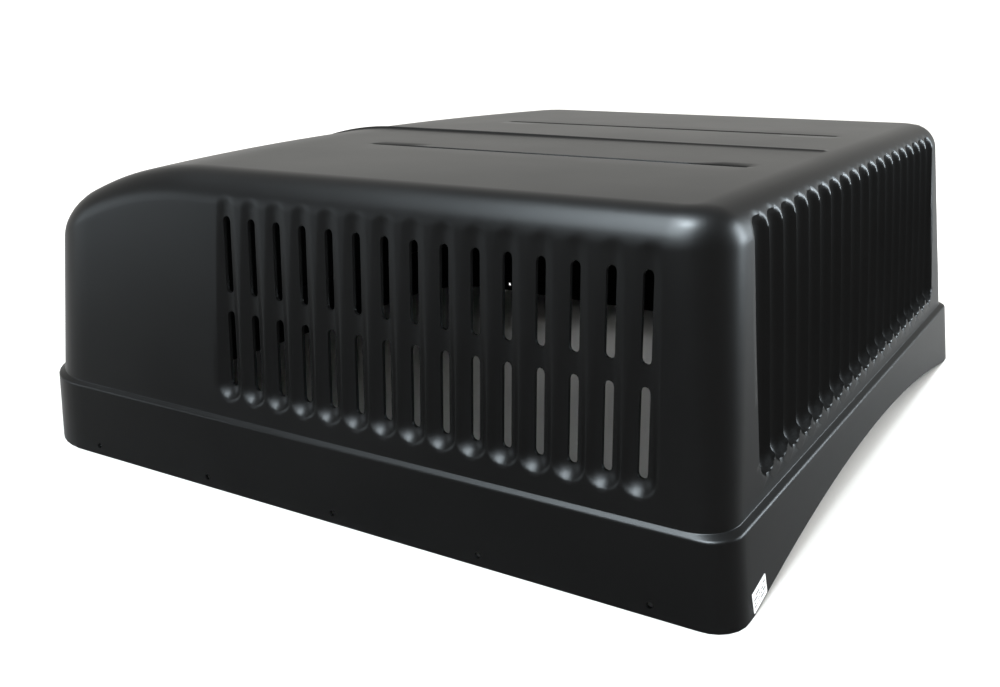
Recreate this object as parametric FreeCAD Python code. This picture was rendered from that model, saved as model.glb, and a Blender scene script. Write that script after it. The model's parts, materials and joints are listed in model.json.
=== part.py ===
"""Rooftop air conditioner shroud: one black moulded shell, its label and its foam seals.

Frame: millimetres, +Z up, origin at the middle of the rim that sits on the roof pan.
+X is the rear (the exhaust grille), -X is the nose, -Y and +Y are the two long sides.
"""
import FreeCAD
import Part

import math
import os

from FreeCAD import Vector

# Overall size
LENGTH = 730.0
WIDTH = 700.0
WALL = 3.0
TOP_HEIGHT = 275.0
TOP_REAR_X = 290.0
TOP_SLOPE = 0.01

# Skirt, shoulder and wall: how far each face stands in from the rim, at four heights
SKIRT_TOP_Z = 63.6
WALL_FOOT_Z = 66.4
LOFT_TOP_Z = 320.0
WALL_DRAFT = 0.07
SIDE_SKIRT_INSET = 1.4
SIDE_WALL_INSET = 5.0
NOSE_SKIRT_INSET = 1.9
NOSE_WALL_INSET = 6.6
REAR_SKIRT_INSET = 6.0
REAR_WALL_INSET = 11.5
NOSE_CORNER_RADIUS = 83.0
REAR_CORNER_RADIUS = 24.0
REAR_CORNER_GROWTH_FOOT = 4.0
REAR_CORNER_GROWTH = 24.0
TOP_EDGE_RADIUS = 28.0
RIM_EDGE_REACH = 60.0
RIM_EDGE_MIN_Z = 124.0
OPEN_FOOT_Z = -20.0

# Nose: where the roof starts to fall, and the points it falls through
NOSE_START_X = -180.0
NOSE_SLOPE_POINTS = ((-225.0, -3.6), (-275.0, -13.5), (-325.0, -31.0), (-400.0, -73.0))

# Flutes: half-round channels with a louvre slot above and below a bridge
SIDE_FLUTES = 15
SIDE_PITCH = 27.06
SIDE_FIRST_X = -88.8
SIDE_FLUTE_RADIUS = 16.0
SIDE_FLOOR_INSET_LOW = 13.9
SIDE_FLOOR_INSET_HIGH = 18.8
SIDE_FLUTE_Z = (96.0, 246.0)
SIDE_SLOTS_Z = ((92.2, 156.9), (172.1, 236.2))
REAR_FLUTES = 19
REAR_PITCH = 29.1
REAR_FLUTE_RADIUS = 16.0
REAR_FLOOR_INSET_LOW = 26.0
REAR_FLOOR_INSET_HIGH = 33.0
REAR_FLUTE_Z = (97.0, 256.0)
REAR_SLOTS_Z = ((92.2, 153.5), (170.0, 249.0))
SLOT_WIDTH = 8.0
SLOT_CUT_DEPTH = 45.0

# Roof bead and grooves, rear arch, screw holes
BEAD_WIDTH = 10.0
BEAD_HEIGHT = 2.0
BEAD_X = (-300.0, 308.0)
GROOVE_Y = 124.0
GROOVE_X = (-110.0, 280.0)
GROOVE_RADIUS = 4.0
GROOVE_DEPTH = 1.8
ARCH_HALF_WIDTH = 313.0
ARCH_RISE = 28.0
SCREW_HOLE_RADIUS = 2.5
SCREW_HOLE_Z = 8.5
SCREW_HOLE_PITCH = 140.0
SCREW_HOLES = 5
SCREW_CENTRE_X = 23.0

# Label and foam
LABEL_WIDTH = 26.0
LABEL_HEIGHT = 15.5
LABEL_THICKNESS = 0.4
LABEL_Y = -303.2
LABEL_Z = 11.5
LABEL_TURN = 9.0
FOAM_THICKNESS = 10.0
FOAM_WIDTH = 14.0
FOAM_GLUE_GAP = 0.05
FOAM_FOOT_Z = 80.0
FOAM_SPLIT_Y = 290.0
REAR_FOAM_X = 306.5
FRONT_FOAM_X = -128.0


def wall_inset(foot_inset, z):
    """Inset of a drafted wall at height z."""
    return foot_inset + WALL_DRAFT * (z - WALL_FOOT_Z)


def plan_wire(z, nose, rear, side, nose_radius, rear_radius):
    """Rounded rectangle at height z, each face standing in from the rim by its inset."""
    x0 = -LENGTH / 2 + nose
    x1 = LENGTH / 2 - rear
    y1 = WIDTH / 2 - side
    diagonal = math.sqrt(0.5)

    def corner(cx, cy, radius, sx, sy):
        """The arc round one corner, from its face normal to X to its face normal to Y."""
        start = Vector(cx + sx * radius, cy, z)
        middle = Vector(cx + sx * radius * diagonal, cy + sy * radius * diagonal, z)
        end = Vector(cx, cy + sy * radius, z)
        return start, middle, end

    rear_right = corner(x1 - rear_radius, y1 - rear_radius, rear_radius, 1, 1)
    nose_right = corner(x0 + nose_radius, y1 - nose_radius, nose_radius, -1, 1)
    nose_left = corner(x0 + nose_radius, nose_radius - y1, nose_radius, -1, -1)
    rear_left = corner(x1 - rear_radius, rear_radius - y1, rear_radius, 1, -1)
    edges = [
        Part.Arc(*rear_right).toShape(),
        Part.LineSegment(rear_right[2], nose_right[2]).toShape(),
        Part.Arc(*reversed(nose_right)).toShape(),
        Part.LineSegment(nose_right[0], nose_left[0]).toShape(),
        Part.Arc(*nose_left).toShape(),
        Part.LineSegment(nose_left[2], rear_left[2]).toShape(),
        Part.Arc(*reversed(rear_left)).toShape(),
        Part.LineSegment(rear_left[0], rear_right[0]).toShape(),
    ]
    return Part.Wire(edges)


def roof_height(x):
    """Height of the flat part of the roof at x."""
    return TOP_HEIGHT + TOP_SLOPE * (x - TOP_REAR_X)


def roof_profile(drop):
    """Side profile of the body as a face in the XZ plane, its roof lowered by drop."""
    far = LENGTH
    below = -LENGTH / 4
    start = Vector(NOSE_START_X, -WIDTH, roof_height(NOSE_START_X) - drop)
    points = [start]
    for x, fall in NOSE_SLOPE_POINTS:
        points.append(Vector(x, -WIDTH, roof_height(NOSE_START_X) + fall - drop))
    slope = Part.BSplineCurve()
    first = Vector(-1, 0, -TOP_SLOPE)
    last = points[-1] - points[-2]
    last.normalize()
    slope.interpolate(Points=points, InitialTangent=first, FinalTangent=last)
    end = points[-1]
    rear_top = Vector(far, -WIDTH, roof_height(far) - drop)
    edges = [
        Part.LineSegment(rear_top, start).toShape(),
        slope.toShape(),
        Part.LineSegment(end, Vector(end.x, -WIDTH, below)).toShape(),
        Part.LineSegment(Vector(end.x, -WIDTH, below), Vector(far, -WIDTH, below)).toShape(),
        Part.LineSegment(Vector(far, -WIDTH, below), rear_top).toShape(),
    ]
    return Part.Face(Part.Wire(edges))


def body(offset, foot_z=0.0):
    """The closed body, every face moved in by offset, with its roof edge rounded."""
    levels = (
        (foot_z, 0.0, 0.0, 0.0, 0.0),
        (SKIRT_TOP_Z, NOSE_SKIRT_INSET, REAR_SKIRT_INSET, SIDE_SKIRT_INSET, 0.0),
        (
            WALL_FOOT_Z,
            NOSE_WALL_INSET,
            REAR_WALL_INSET,
            SIDE_WALL_INSET,
            REAR_CORNER_GROWTH_FOOT,
        ),
        (
            LOFT_TOP_Z,
            wall_inset(NOSE_WALL_INSET, LOFT_TOP_Z),
            wall_inset(REAR_WALL_INSET, LOFT_TOP_Z),
            wall_inset(SIDE_WALL_INSET, LOFT_TOP_Z),
            REAR_CORNER_GROWTH,
        ),
    )
    wires = []
    for z, nose, rear, side, growth in levels:
        wires.append(
            plan_wire(
                z,
                nose + offset,
                rear + offset,
                side + offset,
                NOSE_CORNER_RADIUS - offset,
                REAR_CORNER_RADIUS + growth - offset,
            )
        )
    block = Part.makeLoft(wires, True, True)
    prism = roof_profile(offset).extrude(Vector(0, 2 * WIDTH, 0))
    solid = block.common(prism).Solids[0]
    rim = []
    for edge in solid.Edges:
        low = edge.BoundBox.ZMin
        horizontal = edge.BoundBox.ZLength < RIM_EDGE_REACH
        if low > RIM_EDGE_MIN_Z and horizontal and touches_roof(edge, offset):
            rim.append(edge)
    return solid.makeFillet(TOP_EDGE_RADIUS - offset, rim)


def touches_roof(edge, offset):
    """True where both ends and the middle of an edge lie on the roof and on a wall."""
    middle = edge.valueAt((edge.FirstParameter + edge.LastParameter) / 2)
    half_width = WIDTH / 2 - wall_inset(SIDE_WALL_INSET, middle.z) - offset
    rear = LENGTH / 2 - wall_inset(REAR_WALL_INSET, middle.z) - offset
    on_side = abs(abs(middle.y) - half_width) < RIM_EDGE_REACH
    on_end = abs(middle.x - rear) < RIM_EDGE_REACH or middle.x < NOSE_START_X
    return on_side or on_end


def capsule(foot, head, radius, outward):
    """A round-ended rod from foot to head, turned from a half outline on its outward side."""
    axis = head - foot
    axis.normalize()
    across = outward - axis * outward.dot(axis)
    across.normalize()
    lean = (across - axis) * math.sqrt(0.5) * radius
    rise = (across + axis) * math.sqrt(0.5) * radius
    low_pole = foot - axis * radius
    high_pole = head + axis * radius
    edges = [
        Part.Arc(low_pole, foot + lean, foot + across * radius).toShape(),
        Part.LineSegment(foot + across * radius, head + across * radius).toShape(),
        Part.Arc(head + across * radius, head + rise, high_pole).toShape(),
        Part.LineSegment(high_pole, low_pole).toShape(),
    ]
    return Part.Face(Part.Wire(edges)).revolve(foot, axis, 360)


def side_flute(x, side, radius):
    """One flute cutter of the given radius on the side at -Y (side -1) or +Y (side 1)."""
    low, high = SIDE_FLUTE_Z
    foot_y = WIDTH / 2 - SIDE_FLOOR_INSET_LOW + SIDE_FLUTE_RADIUS
    head_y = WIDTH / 2 - SIDE_FLOOR_INSET_HIGH + SIDE_FLUTE_RADIUS
    foot = Vector(x, side * foot_y, low)
    head = Vector(x, side * head_y, high)
    return capsule(foot, head, radius, Vector(0, side, 0))


def rear_flute(y, radius):
    """One flute cutter of the given radius on the rear wall."""
    low, high = REAR_FLUTE_Z
    foot_x = LENGTH / 2 - REAR_FLOOR_INSET_LOW + REAR_FLUTE_RADIUS
    head_x = LENGTH / 2 - REAR_FLOOR_INSET_HIGH + REAR_FLUTE_RADIUS
    return capsule(Vector(foot_x, y, low), Vector(head_x, y, high), radius, Vector(1, 0, 0))


def slot(width, low, high, depth):
    """A round-ended upright slot in the XZ plane, centred on x = 0, running along +Y."""
    radius = width / 2
    left_low = Vector(-radius, 0, low + radius)
    left_high = Vector(-radius, 0, high - radius)
    right_low = Vector(radius, 0, low + radius)
    right_high = Vector(radius, 0, high - radius)
    edges = [
        Part.LineSegment(left_low, left_high).toShape(),
        Part.Arc(left_high, Vector(0, 0, high), right_high).toShape(),
        Part.LineSegment(right_high, right_low).toShape(),
        Part.Arc(right_low, Vector(0, 0, low), left_low).toShape(),
    ]
    return Part.Face(Part.Wire(edges)).extrude(Vector(0, depth, 0))


def side_xs():
    """The X position of each side flute."""
    return [SIDE_FIRST_X + index * SIDE_PITCH for index in range(SIDE_FLUTES)]


def rear_ys():
    """The Y position of each rear flute."""
    middle = (REAR_FLUTES - 1) / 2
    return [(index - middle) * REAR_PITCH for index in range(REAR_FLUTES)]


def flute_cutters(extra):
    """All flute cutters, each radius grown by extra."""
    cutters = []
    for x in side_xs():
        for side in (-1, 1):
            cutters.append(side_flute(x, side, SIDE_FLUTE_RADIUS + extra))
    for y in rear_ys():
        cutters.append(rear_flute(y, REAR_FLUTE_RADIUS + extra))
    return cutters


def slot_cutters():
    """Every louvre slot."""
    depth = SLOT_CUT_DEPTH
    cutters = []
    for low, high in SIDE_SLOTS_Z:
        for x in side_xs():
            for side in (-1, 1):
                cutter = slot(SLOT_WIDTH, low, high, depth)
                start = -WIDTH / 2 if side < 0 else WIDTH / 2 - depth
                cutter.translate(Vector(x, start, 0))
                cutters.append(cutter)
    for low, high in REAR_SLOTS_Z:
        for y in rear_ys():
            cutter = slot(SLOT_WIDTH, low, high, depth)
            cutter.rotate(Vector(0, 0, 0), Vector(0, 0, 1), 90)
            cutter.translate(Vector(LENGTH / 2, y, 0))
            cutters.append(cutter)
    return cutters


def screw_xs():
    """The X position of each screw hole along one side."""
    middle = (SCREW_HOLES - 1) / 2
    return [SCREW_CENTRE_X + (index - middle) * SCREW_HOLE_PITCH for index in range(SCREW_HOLES)]


def screw_hole_cutters():
    """One rod across the whole body for each pair of screw holes."""
    cutters = []
    for x in screw_xs():
        foot = Vector(x, -WIDTH, SCREW_HOLE_Z)
        cutters.append(Part.makeCylinder(SCREW_HOLE_RADIUS, 2 * WIDTH, foot, Vector(0, 1, 0)))
    return cutters


def arch_cutter():
    """A shallow round arch out of the rear skirt's lower edge."""
    radius = (ARCH_HALF_WIDTH ** 2 + ARCH_RISE ** 2) / (2 * ARCH_RISE)
    depth = 60.0
    foot = Vector(LENGTH / 2 - depth / 2, 0, ARCH_RISE - radius)
    return Part.makeCylinder(radius, depth, foot, Vector(1, 0, 0))


def groove_cutters():
    """The two roof grooves, round in section, sunk along the slope of the roof."""
    cutters = []
    for side in (-1, 1):
        ends = []
        for x in GROOVE_X:
            z = roof_height(x) + GROOVE_RADIUS - GROOVE_DEPTH
            ends.append(Vector(x, side * GROOVE_Y, z))
        cutters.append(capsule(ends[0], ends[1], GROOVE_RADIUS, Vector(0, 0, 1)))
    return cutters


def roof_bead():
    """The raised bead along the middle of the roof, following its fall to the nose."""
    first, last = BEAD_X
    corner = Vector(first, -BEAD_WIDTH / 2, RIM_EDGE_MIN_Z)
    band = Part.makeBox(last - first, BEAD_WIDTH, LOFT_TOP_Z, corner)
    return body(-BEAD_HEIGHT).common(band)


def cover_shell():
    """The moulded shell with its flutes, slots, arch, grooves and screw holes."""
    outer = body(0.0)
    inner = body(WALL, OPEN_FOOT_Z)
    outer = outer.fuse(roof_bead()).removeSplitter()
    for cutter in flute_cutters(0.0):
        outer = outer.cut(cutter)
    for cutter in flute_cutters(WALL):
        inner = inner.cut(cutter)
    shell = outer.cut(inner)
    shell = shell.cut(Part.makeCompound(slot_cutters()))
    openings = screw_hole_cutters() + groove_cutters() + [arch_cutter()]
    for cutter in openings:
        shell = shell.cut(cutter)
    return shell


def data_label():
    """The thin rating label on the rear skirt, on its drafted face and in line with the arch."""
    lean = math.degrees(math.atan2(REAR_SKIRT_INSET, SKIRT_TOP_Z))
    label = Part.makeBox(LABEL_THICKNESS, LABEL_WIDTH, LABEL_HEIGHT)
    label.translate(Vector(0, -LABEL_WIDTH / 2, -LABEL_HEIGHT / 2))
    label.rotate(Vector(0, 0, 0), Vector(1, 0, 0), LABEL_TURN)
    label.rotate(Vector(0, 0, 0), Vector(0, 1, 0), -lean)
    face_x = LENGTH / 2 - REAR_SKIRT_INSET * LABEL_Z / SKIRT_TOP_Z
    label.translate(Vector(face_x, LABEL_Y, LABEL_Z))
    return label


def foam_ring(x):
    """A hoop of foam inside the shell, from one side over the roof to the other."""
    outside = body(WALL + FOAM_GLUE_GAP)
    inside = body(WALL + FOAM_THICKNESS, OPEN_FOOT_Z)
    slab = Part.makeBox(FOAM_WIDTH, WIDTH, LOFT_TOP_Z, Vector(x, -WIDTH / 2, FOAM_FOOT_Z))
    return outside.cut(inside).common(slab)


def foam_seals(name, x):
    """The three strips of one hoop: roof strip and one strip down each side."""
    ring = foam_ring(x)
    corner = Vector(-LENGTH / 2, -FOAM_SPLIT_Y, 0)
    roof = Part.makeBox(LENGTH, 2 * FOAM_SPLIT_Y, LOFT_TOP_Z, corner)
    sides = ring.cut(roof).Solids
    sides.sort(key=lambda strip: strip.CenterOfMass.y)
    return {
        name + "_seal_roof": ring.common(roof),
        name + "_seal_left": sides[0],
        name + "_seal_right": sides[1],
    }


def main():
    """Build every piece and write one STEP file for each."""
    pieces = {"cover_shell": cover_shell(), "data_label": data_label()}
    pieces.update(foam_seals("rear", REAR_FOAM_X))
    pieces.update(foam_seals("front", FRONT_FOAM_X))
    os.makedirs("parts", exist_ok=True)
    for name, shape in pieces.items():
        solid = shape.Solids[0]
        box = solid.optimalBoundingBox()
        print(name, len(shape.Solids), solid.isValid(), round(solid.Volume / 1000.0, 1), "cm3", box)
        solid.exportStep("parts/" + name + ".step")


main()
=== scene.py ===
"""Rooftop air conditioner shroud: its looks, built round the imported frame.

Metres, +Z up, origin at the middle of the rim. +X is the rear grille, -X is the nose,
-Y and +Y are the two long fluted sides.
"""

import json
import logging
import math
from dataclasses import dataclass, field, fields
from enum import Enum

import bmesh
import bpy
import numpy as np
from mathutils import Vector
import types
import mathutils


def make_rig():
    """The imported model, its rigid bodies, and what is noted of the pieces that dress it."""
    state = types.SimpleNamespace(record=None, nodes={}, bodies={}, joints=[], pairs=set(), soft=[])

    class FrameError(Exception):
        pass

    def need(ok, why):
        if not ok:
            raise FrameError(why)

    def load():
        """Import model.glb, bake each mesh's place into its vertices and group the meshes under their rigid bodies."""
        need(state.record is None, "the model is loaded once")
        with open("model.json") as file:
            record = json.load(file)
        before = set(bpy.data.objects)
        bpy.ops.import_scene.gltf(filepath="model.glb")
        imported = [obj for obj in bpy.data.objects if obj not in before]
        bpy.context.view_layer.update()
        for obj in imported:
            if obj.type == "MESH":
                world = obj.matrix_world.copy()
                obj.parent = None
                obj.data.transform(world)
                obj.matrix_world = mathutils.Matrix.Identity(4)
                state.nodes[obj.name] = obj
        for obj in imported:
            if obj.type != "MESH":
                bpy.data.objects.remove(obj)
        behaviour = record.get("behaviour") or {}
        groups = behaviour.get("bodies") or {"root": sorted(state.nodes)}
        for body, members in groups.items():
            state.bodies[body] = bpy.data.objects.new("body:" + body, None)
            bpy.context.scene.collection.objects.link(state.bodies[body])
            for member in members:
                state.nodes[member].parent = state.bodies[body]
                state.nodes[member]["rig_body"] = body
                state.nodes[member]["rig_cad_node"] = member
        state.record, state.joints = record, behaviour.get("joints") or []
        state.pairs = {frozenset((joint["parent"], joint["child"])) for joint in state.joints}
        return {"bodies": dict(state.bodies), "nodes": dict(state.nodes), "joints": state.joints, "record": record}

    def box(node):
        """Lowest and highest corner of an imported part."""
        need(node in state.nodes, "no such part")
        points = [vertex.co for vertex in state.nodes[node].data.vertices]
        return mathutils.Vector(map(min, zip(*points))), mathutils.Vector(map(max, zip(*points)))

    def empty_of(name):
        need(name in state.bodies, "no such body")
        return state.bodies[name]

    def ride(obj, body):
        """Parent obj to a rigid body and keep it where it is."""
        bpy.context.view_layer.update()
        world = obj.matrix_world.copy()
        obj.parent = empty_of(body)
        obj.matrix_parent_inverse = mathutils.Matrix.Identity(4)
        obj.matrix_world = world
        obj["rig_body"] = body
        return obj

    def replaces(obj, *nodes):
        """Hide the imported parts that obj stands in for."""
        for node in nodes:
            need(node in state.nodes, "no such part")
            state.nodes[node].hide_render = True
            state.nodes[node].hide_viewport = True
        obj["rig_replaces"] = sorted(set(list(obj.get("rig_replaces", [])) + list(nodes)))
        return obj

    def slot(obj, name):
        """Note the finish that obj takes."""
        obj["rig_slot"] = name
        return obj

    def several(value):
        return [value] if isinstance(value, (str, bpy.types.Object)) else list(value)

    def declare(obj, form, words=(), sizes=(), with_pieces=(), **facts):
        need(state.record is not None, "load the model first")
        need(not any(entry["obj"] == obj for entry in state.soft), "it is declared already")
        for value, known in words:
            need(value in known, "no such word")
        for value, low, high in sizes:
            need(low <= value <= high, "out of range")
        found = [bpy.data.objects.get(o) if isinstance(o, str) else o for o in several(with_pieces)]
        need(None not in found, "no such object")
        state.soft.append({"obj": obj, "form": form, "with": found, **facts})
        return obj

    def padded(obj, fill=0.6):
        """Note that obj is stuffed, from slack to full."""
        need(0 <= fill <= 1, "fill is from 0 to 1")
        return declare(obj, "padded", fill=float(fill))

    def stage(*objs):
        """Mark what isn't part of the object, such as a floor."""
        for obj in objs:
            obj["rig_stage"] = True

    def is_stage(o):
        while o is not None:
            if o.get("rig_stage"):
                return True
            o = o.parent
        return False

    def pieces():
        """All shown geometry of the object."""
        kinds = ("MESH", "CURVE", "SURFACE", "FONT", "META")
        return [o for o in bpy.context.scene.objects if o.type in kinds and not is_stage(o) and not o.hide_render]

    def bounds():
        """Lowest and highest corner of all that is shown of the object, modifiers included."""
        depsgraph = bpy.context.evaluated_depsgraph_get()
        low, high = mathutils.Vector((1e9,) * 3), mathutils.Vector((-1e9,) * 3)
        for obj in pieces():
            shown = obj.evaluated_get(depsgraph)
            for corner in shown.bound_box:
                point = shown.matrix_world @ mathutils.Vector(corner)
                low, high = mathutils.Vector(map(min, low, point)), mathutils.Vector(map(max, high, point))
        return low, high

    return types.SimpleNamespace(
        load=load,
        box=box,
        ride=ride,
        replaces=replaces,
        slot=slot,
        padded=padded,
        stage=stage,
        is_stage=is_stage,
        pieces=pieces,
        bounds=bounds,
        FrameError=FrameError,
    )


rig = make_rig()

LOG = logging.getLogger("shroud")
SIZE_FILE = "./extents.json"
BODY = "root"
MM = 0.001
MERGE_DISTANCE = 2e-6
COLUMN_GAP = 2e-5
KEY_MATCH = 1e-4
CRISP_ANGLE = 35.0
HALF_CORNER = math.pi / 4.0
STEEPEST = 0.7
INNER_WALL = "inner_wall"
COOL = (0.82, 0.93, 1.0)
WARM = (1.0, 0.99, 0.95)


class Face(Enum):
    """The three kinds of wall face, which lean and step differently."""

    SIDE = "side"
    NOSE = "nose"
    REAR = "rear"


def deselect_all() -> None:
    """Leave object mode's selection empty."""
    if bpy.context.object is not None and bpy.context.object.mode != "OBJECT":
        bpy.ops.object.mode_set(mode="OBJECT")
    bpy.ops.object.select_all(action="DESELECT")


def select_only(*objects: bpy.types.Object) -> None:
    """Select these objects and make the first one active.

    Args:
        objects: The objects to select.
    """
    deselect_all()
    for item in objects:
        item.select_set(True)
    bpy.context.view_layer.objects.active = objects[0]


def apply_place(piece: bpy.types.Object) -> None:
    """Put an object's place, turn and size into its mesh.

    Args:
        piece: The object to settle at the origin.
    """
    select_only(piece)
    bpy.ops.object.transform_apply(location=True, rotation=True, scale=True)


def apply_modifier(piece: bpy.types.Object, kind: str, **settings: object) -> None:
    """Add a modifier with these settings and apply it.

    Args:
        piece: The object to finish.
        kind: The modifier's type.
        settings: Its properties by name.
    """
    select_only(piece)
    modifier = piece.modifiers.new(kind.title(), kind)
    for name, value in settings.items():
        setattr(modifier, name, value)
    bpy.ops.object.modifier_apply(modifier=modifier.name)


def recalculate_normals(piece: bpy.types.Object) -> None:
    """Merge doubles and point every face outwards.

    Args:
        piece: A closed mesh.
    """
    select_only(piece)
    bpy.ops.object.mode_set(mode="EDIT")
    bpy.ops.mesh.select_all(action="SELECT")
    bpy.ops.mesh.remove_doubles(threshold=MERGE_DISTANCE)
    bpy.ops.mesh.normals_make_consistent(inside=False)
    bpy.ops.object.mode_set(mode="OBJECT")


def smooth_by_angle(piece: bpy.types.Object, degrees: float) -> None:
    """Shade a piece smooth, with edges sharper than an angle kept crisp.

    Args:
        piece: The object to shade.
        degrees: The angle above which an edge stays crisp.
    """
    select_only(piece)
    bpy.ops.object.shade_smooth_by_angle(angle=math.radians(degrees))


def is_near(place: float, wanted: list) -> bool:
    """Whether a place is one of the wanted ones.

    Args:
        place: A place along a wall.
        wanted: The places to match.

    Returns:
        True if one of them is as good as equal.
    """
    return min(abs(place - other) for other in wanted) < KEY_MATCH


def smooth_step(value: np.ndarray) -> np.ndarray:
    """Ease from 0 to 1 with level ends.

    Args:
        value: The share of the way, of any size.

    Returns:
        The eased share.
    """
    value = np.clip(value, 0.0, 1.0)
    return value * value * (3.0 - 2.0 * value)


def soft_max(first: np.ndarray, second: np.ndarray, blend: float) -> np.ndarray:
    """The larger of two heights, rounded where they cross.

    Args:
        first: One height.
        second: The other height.
        blend: How far from the crossing the rounding reaches.

    Returns:
        The blended height.
    """
    reach = np.maximum(blend - np.abs(first - second), 0.0)
    return np.maximum(first, second) + reach * reach / (4.0 * blend)


@dataclass(frozen=True)
class FluteRow:
    """One row of upright scooped channels, each with a slot above and a slot below a bridge."""

    first: float
    pitch: float
    count: int
    floor_low: float
    floor_high: float
    foot_z: float
    head_z: float
    slots: tuple
    offsets: tuple
    radius: float = 0.016
    slot_half: float = 0.004
    crest_blend: float = 0.0022
    land_blend: float = 0.0022
    fall_off: float = 3.0

    def columns(self) -> list:
        """Every mesh column that the flutes need along the wall.

        Returns:
            Sorted places along the wall.
        """
        places = set()
        for centre in self.first + self.pitch * np.arange(self.count):
            for offset in self.offsets:
                places.add(round(centre + offset, 6))
                places.add(round(centre - offset, 6))
        merged = []
        for place in sorted(places):
            if not merged or place - merged[-1] > COLUMN_GAP:
                merged.append(place)
        return merged

    def crests(self) -> list:
        """The places halfway between flutes, and one outside each end."""
        return [self.first + self.pitch * (k - 0.5) for k in range(self.count + 1)]

    def nearest(self, along: np.ndarray) -> np.ndarray:
        """The number of the flute nearest to each place."""
        return np.clip(np.round((along - self.first) / self.pitch), 0, self.count - 1)

    def from_centre(self, along: np.ndarray) -> np.ndarray:
        """Distance of each place from the nearest flute's middle."""
        return along - (self.first + self.nearest(along) * self.pitch)

    def scoop(self, along: np.ndarray, z: np.ndarray, centre: np.ndarray, grow: float) -> np.ndarray:
        """How far one flute's surface stands in from the rim.

        Args:
            along: Places along the wall.
            z: Heights.
            centre: The flute's middle at each place.
            grow: Added to the tool's radius, for the inner wall.

        Returns:
            The inset of the scooped surface, small where the flute doesn't reach.
        """
        radius = self.radius + grow
        share = np.clip((z - self.foot_z) / (self.head_z - self.foot_z), 0.0, 1.0)
        axis = self.floor_low + (self.floor_high - self.floor_low) * share - self.radius
        beyond = np.maximum(self.foot_z - z, 0.0) + np.maximum(z - self.head_z, 0.0)
        away = np.sqrt((along - centre) ** 2 + beyond**2)
        inside = np.sqrt(np.maximum(radius**2 - away**2, 0.0))
        return axis + inside - self.fall_off * np.maximum(away - radius, 0.0)

    def carve(self, along: np.ndarray, z: np.ndarray, base: np.ndarray, grow: float) -> np.ndarray:
        """The wall's inset with the flutes pressed into it.

        Args:
            along: Places along the wall.
            z: Heights.
            base: The plain wall's inset.
            grow: Added to the tool's radius, for the inner wall.

        Returns:
            The inset with soft crests and soft lands.
        """
        nearest = self.nearest(along)
        middle = self.first + nearest * self.pitch
        neighbour = nearest + np.where(along >= middle, 1.0, -1.0)
        exists = (neighbour >= 0) & (neighbour <= self.count - 1)
        other = self.first + neighbour * self.pitch
        own = self.scoop(along, z, middle, grow)
        beside = np.where(exists, self.scoop(along, z, other, grow), own - 1.0)
        cut = soft_max(own, beside, self.crest_blend)
        return soft_max(base, cut, self.land_blend)


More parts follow.
